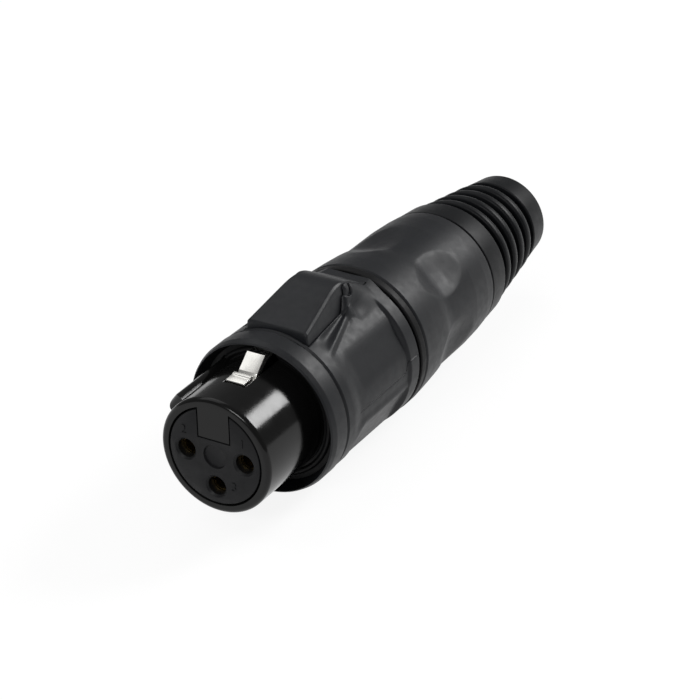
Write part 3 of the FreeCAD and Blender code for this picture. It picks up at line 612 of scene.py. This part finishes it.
def nose_shell():
    rows = arc((RIM_ROUND, NOSE_R - RIM_ROUND), RIM_ROUND, 180, 90, -10)
    rows += [(y, NOSE_R) for y in NOSE_ROWS]
    rows += [(NOSE_END, SHELL_BODY_R), (SHELL_BODY_END, SHELL_BODY_R)]
    rows += [
        (SHELL_BODY_END, SPIGOT_R),
        (SPIGOT_END - SPIGOT_CHAMFER, SPIGOT_R),
        (SPIGOT_END, SPIGOT_R - SPIGOT_CHAMFER),
    ]
    inside = [
        (SPIGOT_BORE_R, SPIGOT_END),
        (SPIGOT_BORE_R, CHUCK_SEAT),
        (CAVITY_R, CHUCK_SEAT),
        (CAVITY_R, CAVITY_START),
        (SHELL_BORE_R, CAVITY_START),
        (SHELL_BORE_R, COUNTERBORE_END + 0.1),
        (SHELL_BORE_R + COUNTERBORE_STEP, COUNTERBORE_END),
        (SHELL_BORE_R + COUNTERBORE_STEP, 0.12),
        (SHELL_BORE_R + 0.2, 0.0),
    ]

    def loop_at(angle):
        outer = []
        for y, radius in rows:
            if radius == NOSE_R:
                radius -= slot_edge(angle, y, radius)
            outer.append((radius, y))
        return outer + inside

    shell = wrapped("shell_metal", SHELL_ANGLES, loop_at)
    bridge = block(
        -BRIDGE_HALF, BRIDGE_HALF,
        BRIDGE_START, INSERT_LENGTH,
        BRIDGE_FLOOR, SHELL_BORE_R + BRIDGE_OVERLAP,
    )
    combine(shell, "UNION", bridge, key_rib())
    top = SHELL_BODY_R + 1
    combine(
        shell, "DIFFERENCE",
        block(-SLOT_HALF, SLOT_HALF, SLOT_START, NOSE_END, SLOT_FLOOR, top),
        block(-SLOT_HALF, SLOT_HALF, NOSE_END - 1, PIVOT[0], ARM_SLOT_FLOOR, top),
        block(-SLOT_HALF, SLOT_HALF, *EYE_POCKET, top),
    )
    dress(shell, "black_metal", "shell", "nose_shell")


def thread():
    """Helical ridge on the spigot that the nut turns on."""
    steps = THREAD_STEPS * THREAD_TURNS
    foot = SPIGOT_R - THREAD_SUNK
    loops = []
    for index in range(steps + 1):
        angle = index * 360 / THREAD_STEPS
        y = THREAD_START + THREAD_PITCH * index / THREAD_STEPS
        fade = min(1.0, index / THREAD_FADE_STEPS, (steps - index) / THREAD_FADE_STEPS)
        crest = SPIGOT_R + THREAD_HEIGHT * fade + HAIR
        loops.append([
            on_ring(foot, y - THREAD_HALF_FOOT, angle),
            on_ring(crest, y - THREAD_HALF_CREST, angle),
            on_ring(crest, y + THREAD_HALF_CREST, angle),
            on_ring(foot, y + THREAD_HALF_FOOT, angle),
        ])
    dress(skin("spigot_thread", loops), "black_metal", "shell", sharp=30)


# Insert

MOUTH_LINE = [(MOUTH_R + 0.42, -0.1), (MOUTH_R + 0.3, 0.02), (MOUTH_R, 0.3), (MOUTH_R, MOUTH_DEPTH)]
RECESS_LINE = [(RECESS_R + 0.12, -0.1), (RECESS_R, 0.06), (RECESS_R - 0.05, RECESS_DEPTH)]


def insert():
    body = rod([
        (INSERT_R - INSERT_EDGE, 0.0),
        (INSERT_R - INSERT_EDGE * 0.3, INSERT_EDGE * 0.3),
        (INSERT_R, INSERT_EDGE),
        (INSERT_R, INSERT_LENGTH),
    ])
    half = BRIDGE_HALF + FACE_GAP
    behind = INSERT_LENGTH + 1
    tools = [block(-half, half, -1, behind, BRIDGE_FLOOR - FACE_GAP, INSERT_R + 1)]
    for angle in CONTACT_ANGLES:
        x, y, z = on_ring(CONTACT_PITCH_R, 0.0, angle)
        tools.append(rod(MOUTH_LINE, x, z))
        tools.append(rod([(CONTACT_HOLE_R, MOUTH_DEPTH), (CONTACT_HOLE_R, behind)], x, z))
    tools.append(rod(RECESS_LINE))
    combine(body, "DIFFERENCE", *tools)
    bevelled(body, INSERT_BEVEL, angle=65)
    body.name = "insert_face"
    dress(body, "insert_plastic", "shell", "contact_insert")


def numerals():
    """Pin numbers, moulded a little proud of the face."""
    for digit, (x, z) in NUMERAL_PLACES.items():
        curve = bpy.data.curves.new("numeral", "FONT")
        curve.body = digit
        curve.align_x = "CENTER"
        curve.align_y = "CENTER"
        curve.size = NUMERAL_SIZE * MM
        curve.extrude = NUMERAL_PROUD * MM
        curve.offset = -NUMERAL_THINNER * MM
        text = linked("numeral", curve)
        mesh = evaluated_mesh(text)
        bpy.data.objects.remove(text)
        mesh.transform(Matrix.Translation((x * MM, 0, z * MM)) @ Matrix.Rotation(math.radians(90), 4, "X"))
        with opened(mesh) as shape:
            bmesh.ops.remove_doubles(shape, verts=shape.verts, dist=NUMERAL_WELD * MM)
        dress(linked("pin_number_" + digit, mesh), "insert_plastic", "shell", sharp=30)


# Latch

HOOK_LINE = [
    (6.2, 8.5, 0.15), (6.2, 9.3, 0.22), (7.3, 9.44, 0.05), (7.42, 9.36, 0.05), (7.8, 9.41, 0.05),
    (7.92, 9.53, 0.05), (8.5, 9.6, 0.12), (8.5, 8.55, 0.08), (9.1, 8.55, 0.1),
]
ARM_TOP_LINE = [
    (9.65, 9.3, 0.1), (12.0, 11.27, 0.12), (12.3, 10.9, 0.1), (13.6, 10.95, 0.3), (14.6, 11.6, 0.5),
    (26.5, 11.6, 0.8),
]
ARM_UNDER_LINE = [
    (26.1, 10.8, 0.8), (14.3, 10.8, 0.5), (13.4, 10.2, 0.4), (12.4, 10.15, 0.4), (10.05, 8.15, 0.3),
]
SPRING_LINE = [
    (28.6, 7.73), (27.2, 7.73, 0.4), (22.5, 10.45, 0.4), (21.7, 10.45), (21.7, 10.75), (22.6, 10.75, 0.4),
    (27.3, 8.03, 0.4), (28.6, 8.03),
]


def latch():
    """Bent sheet lever: hook, neck, ramp and arm, with its end rolled round the pin."""
    eye = arc(PIVOT, EYE_R, 90, -195, -15) + arc(PIVOT, EYE_INNER_R, -195, 90, 15)
    outline = HOOK_LINE + ARM_TOP_LINE + eye + ARM_UNDER_LINE
    lever = prism("latch_lever", softened(outline), LATCH_HALF)
    bevelled(lever, LATCH_BEVEL, segments=3, angle=60)
    dress(lever, "nickel", "latch", "latch", sharp=50)


def latch_spring():
    leaf = prism("leaf_spring", softened(SPRING_LINE), SPRING_HALF)
    dress(leaf, "spring_steel", "shell", "latch_spring")
    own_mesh(leaf)


# Button

PAD_LINE = softened([
    (PAD_FRONT, 12.0), (PAD_FRONT + 0.15, 12.88, 0.35), (*PAD_CREST, PAD_TOP_ROUND),
    (36.2, PAD_REAR_Z, 0.5), (PAD_REAR, PAD_REAR_Z),
], closed=False, steps=12)
PAD_ROWS = places((PAD_FRONT, 18.7, 0.06), (18.7, 31.5, 0.35), (31.5, 35.2, 0.12), (35.2, PAD_REAR, 0.2))


def pad_half(y, z):
    """Half the width of the button between its leaning side walls."""
    return PAD_HALF_FRONT - PAD_TAPER * (y - PAD_FRONT) - PAD_DRAFT * (z - PAD_FOOT_Z)


def pad_block(name, gap, front, rear, bottom, top):
    """Tool with the four leaning side walls of the button, grown by gap."""
    loops = []
    for y in (front, rear):
        low = pad_half(y, bottom) + gap
        high = pad_half(y, top) + gap
        loops.append([(-low, y, bottom), (low, y, bottom), (high, y, top), (-high, y, top)])
    return skin(name, loops)


def arm_room(front):
    """Tool for the room of the latch's arm."""
    return block(-SLOT_HALF, SLOT_HALF, front, ARM_ROOM_END, *ARM_ROOM_Z)


def scoop(x, y):
    """Depth of the thumb recess behind the crest."""
    inside = 1 - (x / SCOOP_HALF_WIDTH) ** 2 - ((y - SCOOP_Y) / SCOOP_HALF_LENGTH) ** 2
    return SCOOP_DEPTH * smooth(0, 1, inside)


def pad_loop(y):
    """Points round the button at y: up one side, over its rounded edges and crowned top, down the other."""
    top = radius_on(PAD_LINE, y)
    edge = PAD_EDGE_FRONT + (PAD_EDGE_REAR - PAD_EDGE_FRONT) * smooth(*PAD_EDGE_Y, y)
    corner = edge_drop(y - PAD_FRONT, PAD_FRONT_ROUND) + edge_drop(PAD_REAR - y, PAD_REAR_ROUND)
    shoulder = top - edge * 0.85
    half = []
    for index in range(PAD_SIDE_STEPS + 1):
        z = PAD_BOTTOM + (shoulder - PAD_BOTTOM) * index / PAD_SIDE_STEPS
        half.append((pad_half(y, z) - corner, z))
    side = half[-1][0]
    half.append((side - 0.05, top - edge * 0.72))
    half.append((side - edge * 0.72, top - 0.06))
    inner = side - edge * 0.95
    loop = list(half)
    for index in range(PAD_TOP_STEPS + 1):
        x = inner * (1 - 2 * index / PAD_TOP_STEPS)
        crown = PAD_CROWN * (1 - (x / inner) ** 2)
        loop.append((x, top + crown - scoop(x, y)))
    loop += [(-x, z) for x, z in reversed(half)]
    return [(x, y, z) for x, z in loop]


def button():
    pad = skin("push_button", [pad_loop(y) for y in PAD_ROWS])
    under = rod([(PAD_UNDER_R, PAD_FRONT - 2), (PAD_UNDER_R, PAD_REAR + 2)])
    hollow = pad_block("hollow", -PAD_WALL, PAD_FRONT + PAD_WALL, PAD_HOLLOW_END, *PAD_HOLLOW_Z)
    combine(pad, "DIFFERENCE", under, hollow, arm_room(PAD_FRONT - 1))
    dress(pad, "soft_grip", "button", "button_pad", sharp=40)


# Jacket

JACKET_LINE = softened([
    (JACKET_START, 12.06),
    (JACKET_START + 0.25, 12.27, 0.3),
    (JACKET_START + 1.1, LIP_R, 0.8),
    (LIP_GROOVE[0], LIP_R, 0.12),
    (LIP_GROOVE[0] + LIP_GROOVE_SLOPE, LIP_GROOVE_R, 0.12),
    (LIP_GROOVE[1] - LIP_GROOVE_SLOPE, LIP_GROOVE_R, 0.12),
    (LIP_GROOVE[1], JACKET_R, 0.12),
    (37.8, JACKET_R, 0.2),
    (JACKET_END, 12.0),
], closed=False)
JACKET_ROWS = rows_on(
    JACKET_LINE,
    (17.2, 19.4, 0.1), (19.4, 27.6, 0.33), (27.6, 32.0, 0.1), (32.0, 34.6, 0.25), (34.6, 36.0, 0.1),
    (36.0, 37.8, 0.3), (36.8, 37.3, 0.08),
)
JACKET_ANGLES = places(
    (-180, 179, 1.5), (-45, 45, 0.75), (-92, -80, 0.3), (80, 92, 0.3), (-29, -14, 0.3), (14, 29, 0.3),
)


def panel_start(y):
    """Upper edge of the grip panel, in degrees from the top: it comes up to the rear and then runs level."""
    return PANEL_TOP_ANGLE + PANEL_SLOPE * (PANEL_LEVEL_Y - y) * smooth(*PANEL_BEND_Y, y)


def leaf_depth(angle, y):
    """Depth of the leaf-shaped hollow beside the button, which narrows to a point at the rear."""
    foot = LEAF_FOOT_ANGLE + LEAF_FOOT_SLOPE * (LEAF_FOOT_Y - y)
    ridge = LEAF_RIDGE_ANGLE + PANEL_SLOPE * (PANEL_LEVEL_Y - y)
    if not foot < abs(angle) < ridge:
        return 0.0
    width = ridge - foot
    share = (abs(angle) - foot) / width
    return smooth(*LEAF_START, y) * LEAF_SHARE * width * share * (1 - share)


def panel_depth(angle, y):
    """Depth of the sunk grip panel on each side."""
    start = panel_start(y)
    border = PANEL_BORDER + (PANEL_BORDER_REAR - PANEL_BORDER) * smooth(*PANEL_BORDER_Y, y)
    around = smooth(start, start + border, abs(angle)) * (1 - smooth(*PANEL_BOTTOM_ANGLES, abs(angle)))
    along = smooth(*PANEL_START, y) * (1 - smooth(FACET_END, FACET_END + PANEL_FADE, y))
    return PANEL_DEPTH * around * along


def parting_depth(angle, y, radius):
    """Thin parting groove on each side, which jogs upwards near the rear."""
    line = PARTING_ANGLE - PARTING_JOG * smooth(*PARTING_JOG_Y, y)
    away = math.radians(abs(angle) - line) * radius
    fade = smooth(*PARTING_START, y) * (1 - smooth(*PARTING_END, y))
    return PARTING_DEPTH * fade * math.exp(-(away / PARTING_WIDTH) ** 2)


def hump(angle, y, radius):
    """Surface beside the rear of the button: it rises to the button's top and holds a C-shaped groove."""
    if abs(angle) > TOP_SECTOR or y < HUMP_Y[0]:
        return radius
    turn = math.radians(angle)
    lift = smooth(*HUMP_Y, y)
    high = radius_on(PAD_LINE, y) - HUMP_UNDER_PAD
    edge = pad_half(y, high)
    low = math.sqrt(radius ** 2 - edge ** 2)
    found = radius
    for _ in range(4):
        x = abs(found * math.sin(turn))
        flat = math.sqrt(max(radius ** 2 - x ** 2, 1.0))
        share = 1 - smooth(edge - 0.2, edge + HUMP_REACH, x)
        found = (flat + max(high - max(low, flat), 0.0) * share * lift) / math.cos(turn)
    away = math.hypot(x - GROOVE_PLACE[0], y - GROOVE_PLACE[1]) - GROOVE_R
    groove = GROOVE_DEPTH * math.exp(-(away / GROOVE_WIDTH) ** 2)
    return found - groove * smooth(edge - 0.3, edge + 0.1, x)


def window_edge(angle, y, radius):
    """Rounding of the edge of the button's window."""
    if abs(angle) > TOP_SECTOR:
        return 0.0
    x, y, z = on_ring(radius, y, angle)
    across = abs(x) - pad_half(y, z) - PAD_GAP
    along = max(PAD_FRONT - PAD_GAP - y, y - PAD_REAR - PAD_GAP)
    edge = WINDOW_ROUND + (WINDOW_ROUND_REAR - WINDOW_ROUND) * smooth(*WINDOW_ROUND_Y, y)
    return edge_drop(math.hypot(max(across, 0.0), max(along, 0.0)), edge)


def jacket_radius(angle, y):
    """Radius of the jacket's outside."""
    radius = radius_on(JACKET_LINE, y) - panel_depth(angle, y)
    flatness = smooth(*FACET_START, y) * (1 - smooth(FACET_END, FACET_END + FACET_FADE, y))
    reach = FACET_FLAT + FACET_LIFT * (1 - flatness)
    if y > LIP_GROOVE[1]:
        for centre in FACET_ANGLES:
            away = angle_from(angle, centre)
            if abs(away) < FACET_HALF_ANGLE:
                radius = soft_min(radius, reach / math.cos(math.radians(away)), FACET_BLEND)
    radius -= leaf_depth(angle, y) + parting_depth(angle, y, radius)
    radius = hump(angle, y, radius)
    return radius - window_edge(angle, y, radius)


def jacket():
    inside = [
        (JACKET_BORE_R, JACKET_END),
        (JACKET_BORE_R, NOSE_END),
        (BELL_ROOT_R, NOSE_END),
        (BELL_ROOT_R, BELL_FLOOR),
        (11.9, JACKET_START + 0.6),
        (11.98, JACKET_START + 0.08),
    ]

    def loop_at(angle):
        return [(jacket_radius(angle, y), y) for y in JACKET_ROWS] + inside

    shell = wrapped("jacket", JACKET_ANGLES, loop_at)
    window = pad_block("window", PAD_GAP, PAD_FRONT - PAD_GAP, PAD_REAR + PAD_GAP, *WINDOW_Z)
    combine(shell, "DIFFERENCE", window, arm_room(ARM_ROOM_START))
    dress(shell, "soft_grip", "shell", "grip_jacket", sharp=42)


# Seals

def bell_seal():
    """Ring inside the bell with a round bead, cut out for the latch and the key rib."""
    inner, outer = BELL_SEAL_R
    outline = [(inner, BELL_SEAL_END), (inner, BELL_FLOOR)]
    outline += arc((BELL_BEAD_R, BELL_FLOOR), BELL_BEAD_ROUND, 180, 360, 15)
    outline += [(outer, BELL_FLOOR), (outer, BELL_SEAL_END)]
    ring = lathe("bell_ring", outline)
    rib_half = KEY_HALF + RIB_CLEARANCE
    rib_room = block(-rib_half, rib_half, *BELL_SEAL_ROOM, 0, NOSE_R + KEY_HEIGHT + RIB_CLEARANCE)
    turned(rib_room, KEY_ANGLE)
    latch_room = block(-SLOT_HALF, SLOT_HALF, *BELL_SEAL_ROOM, 0, BELL_SEAL_ROOM_TOP)
    combine(ring, "DIFFERENCE", latch_room, rib_room)
    dress(ring, "seal_rubber", "shell", "bell_seal")


def rear_seal():
    inner, outer = REAR_SEAL_R
    front, rear = REAR_SEAL_Y
    outline = softened([(inner, front), (outer, front, 0.3), (outer, rear, 0.3), (inner, rear)])
    dress(lathe("rear_ring", outline), "seal_rubber", "shell", "rear_seal")


def cable_seal():
    """Ring whose bore narrows in the middle, to grip the cable."""
    inner, outer = CABLE_SEAL_R
    front, rear = CABLE_SEAL_Y
    outline = [(outer, front, 0.2), (outer, rear, 0.2)]
    for angle in range(0, 181, 15):
        waist = CABLE_SEAL_WAIST * math.sin(math.radians(angle))
        outline.append((inner - waist, rear + (front - rear) * angle / 180))
    dress(lathe("cable_ring", softened(outline), segments=96), "seal_rubber", "shell", "cable_seal")


# Nut and boot

GRIP_LINE = softened([
    (GRIP_START, 12.2), (GRIP_START + 0.35, 12.5, 0.3), (43.5, 12.28, 8.0), (47.6, 11.88, 14.0),
    (49.6, 11.45, 14.0), (53.0, GRIP_WAIST_R, 8.0), (58.0, 11.36, 3.0), (62.0, 11.1, 3.0),
    (GRIP_END - 0.25, 10.85, 0.2), (GRIP_END, 10.65),
], closed=False)
GRIP_ROWS = rows_on(GRIP_LINE, (40.5, 45.0, 0.5), (45.0, 58.5, 0.22), (58.5, 64.1, 0.5))


def grip_radius(angle, y):
    """Radius of the soft grip with its finger recesses."""
    radius = radius_on(GRIP_LINE, y)
    for index in range(DIMPLE_COUNT):
        away = angle_from(angle, DIMPLE_PHASE + index * 360 / DIMPLE_COUNT)
        if abs(away) < 180 / DIMPLE_COUNT:
            u = math.radians(away) * radius / DIMPLE_HALF_WIDTH
            v = (y - DIMPLE_Y) / DIMPLE_HALF_LENGTH
            radius -= DIMPLE_DEPTH * max(1 - u * u - v * v, 0.0) ** DIMPLE_POWER
    return radius


def nut_grip():
    inside = [(GRIP_BORE_R, GRIP_END), (GRIP_BORE_R, GRIP_START)]

    def loop_at(angle):
        return [(grip_radius(angle, y), y) for y in GRIP_ROWS] + inside

    dress(wrapped("nut_sleeve", places((-180, 179, 1)), loop_at), "soft_grip", "nut", "nut_grip", sharp=42)


def rib_radius(y):
    """Radius of the boot over its ribs."""
    share = (y - RIB_FIRST_GROOVE) / (BOOT_END - RIB_FIRST_GROOVE)
    return RIB_FIRST_R + (BOOT_END_R - RIB_FIRST_R) * share


def boot():
    """Collar, ribs with narrow grooves between them, and the rear collar round the cable bore."""
    points = [
        (BOSS_R, BOOT_START),
        (BOOT_MOUTH_R, BOOT_START),
        (BOOT_MOUTH_R + 0.1, BOOT_START + 0.15, 0.15),
        (BOOT_COLLAR_END_R, BOOT_COLLAR_END, 0.35),
    ]
    for index in range(RIB_GROOVES):
        y = RIB_FIRST_GROOVE + index * RIB_PITCH
        floor_r = rib_radius(y) - RIB_GROOVE_DEPTH
        points.append((floor_r, y - RIB_HALF_GAP, 0.3))
        points.append((floor_r, y + RIB_HALF_GAP, 0.3))
        if index < RIB_GROOVES - 1:
            start = y + RIB_EDGE
            middle = y + RIB_PITCH / 2
            end = y + RIB_PITCH - RIB_EDGE
            points.append((rib_radius(start) - RIB_EDGE_DROP, start, 0.5))
            points.append((rib_radius(middle) + RIB_CROWN, middle, 1.5))
            points.append((rib_radius(end) - RIB_EDGE_DROP, end, 0.5))
    shoulder = RIB_FIRST_GROOVE + (RIB_GROOVES - 1) * RIB_PITCH + 0.75
    points += [
        (rib_radius(shoulder) - 0.1, shoulder, 0.3),
        (BOOT_END_R + 0.25, BOOT_END - 2.4, 2.0),
        (BOOT_END_R, BOOT_END - 0.5, 0.5),
        (BOOT_END_R - 0.5, BOOT_END, 0.4),
        (CABLE_R + 0.35, BOOT_END, 0.15),
        (CABLE_R, BOOT_END - 0.35),
        (CABLE_R, BOOT_TAPER_END),
        (BOSS_BORE_R, BOSS_END),
        (BOSS_BORE_R, BOSS_RIB[1]),
        (BOSS_RIB_R, BOSS_RIB[1]),
        (BOSS_RIB_R, BOSS_RIB[0]),
        (BOSS_R, BOSS_RIB[0]),
    ]
    dress(lathe("strain_boot", softened(points), segments=220), "boot_rubber", "nut", "boot", sharp=40)


# Floor, light and camera

def towards(azimuth, elevation):
    """Direction from the object: azimuth from the front towards the right, elevation upwards, in degrees."""
    azimuth = math.radians(azimuth)
    elevation = math.radians(elevation)
    return Vector((
        math.sin(azimuth) * math.cos(elevation),
        -math.cos(azimuth) * math.cos(elevation),
        math.sin(elevation),
    ))


def floor():
    """Dark floor that shows almost white to the camera and in reflections, and holds the shadow."""
    size = FLOOR_HALF_M
    corners = [(-size, -size), (size, -size), (size, size), (-size, size)]
    mesh = bpy.data.meshes.new("floor")
    mesh.from_pydata([(x, y, FLOOR_LEVEL * MM) for x, y in corners], [], [(0, 1, 2, 3)])
    plane = linked("floor", mesh)
    mat = bpy.data.materials.new("floor_paper")
    mat.use_nodes = True
    nodes = mat.node_tree.nodes
    links = mat.node_tree.links
    shader = nodes["Principled BSDF"]
    shader.inputs["Base Color"].default_value = (FLOOR_TONE, FLOOR_TONE, FLOOR_TONE, 1)
    shader.inputs["Roughness"].default_value = 0.9
    shader.inputs["Specular IOR Level"].default_value = 0.0
    shader.inputs["Emission Color"].default_value = (1, 1, 1, 1)
    rays = nodes.new("ShaderNodeLightPath")
    seen = rays.outputs["Is Camera Ray"]
    for kind in ("Is Glossy Ray", "Is Transmission Ray"):
        total = nodes.new("ShaderNodeMath")
        total.operation = "ADD"
        links.new(seen, total.inputs[0])
        links.new(rays.outputs[kind], total.inputs[1])
        seen = total.outputs[0]
    strength = nodes.new("ShaderNodeMath")
    strength.operation = "MULTIPLY"
    strength.inputs[1].default_value = FLOOR_SEEN_TONE
    links.new(seen, strength.inputs[0])
    links.new(strength.outputs[0], shader.inputs["Emission Strength"])
    mesh.materials.append(mat)


def area_light(name, azimuth, elevation, distance, width, height, level):
    """Soft light aimed at the object; level is how bright it alone makes a white surface that faces it."""
    away = towards(azimuth, elevation)
    data = bpy.data.lights.new(name, "AREA")
    data.shape = "RECTANGLE"
    data.size = width
    data.size_y = height
    data.energy = level * math.pi ** 2 * distance ** 2
    lamp = linked(name, data)
    lamp.location = CAMERA_AIM * MM + away * distance
    lamp.rotation_euler = away.to_track_quat("Z", "Y").to_euler()


def light():
    """Even world light and three soft lights, with sizes in metres."""
    world = bpy.data.worlds.new("studio")
    world.use_nodes = True
    background = world.node_tree.nodes["Background"]
    background.inputs["Color"].default_value = (1, 1, 1, 1)
    background.inputs["Strength"].default_value = WORLD_LEVEL
    bpy.context.scene.world = world
    area_light("rear_right_softbox", azimuth=150, elevation=34, distance=0.7,
               width=0.25, height=0.19, level=0.62)
    area_light("left_top_softbox", azimuth=-100, elevation=58, distance=0.7,
               width=0.80, height=0.45, level=0.24)
    area_light("front_softbox", azimuth=5, elevation=34, distance=0.8,
               width=0.30, height=0.18, level=0.32)


def camera():
    """Camera at the place and angle that were fitted to the photograph."""
    back = towards(CAMERA_AZIMUTH, CAMERA_ELEVATION)
    azimuth = math.radians(CAMERA_AZIMUTH)
    level_right = Vector((math.cos(azimuth), math.sin(azimuth), 0))
    level_up = back.cross(level_right)
    roll = math.radians(CAMERA_ROLL)
    right = level_right * math.cos(roll) + level_up * math.sin(roll)
    up = level_up * math.cos(roll) - level_right * math.sin(roll)
    data = bpy.data.cameras.new("camera")
    data.sensor_width = SENSOR_WIDTH
    data.lens = SENSOR_WIDTH * CAMERA_FOCAL_PX / PICTURE
    data.clip_start = 0.01
    eye = linked("camera", data)
    place = CAMERA_AIM + back * CAMERA_DISTANCE + right * CAMERA_SLIDE_RIGHT + up * CAMERA_SLIDE_UP
    matrix = Matrix((right, up, back)).transposed().to_4x4()
    matrix.translation = place * MM
    eye.matrix_world = matrix
    bpy.context.scene.camera = eye


for subpart in frame["record"]["subparts"]:
    for material_slot in frame["nodes"][subpart["node"]].material_slots:
        material_slot.material = FINISHES[subpart["material_slot"]]

nose_shell()
thread()
insert()
numerals()
latch()
latch_spring()
button()
jacket()
bell_seal()
rear_seal()
cable_seal()
nut_grip()
boot()
floor()
light()
camera()

bpy.context.scene.view_settings.view_transform = "Standard"
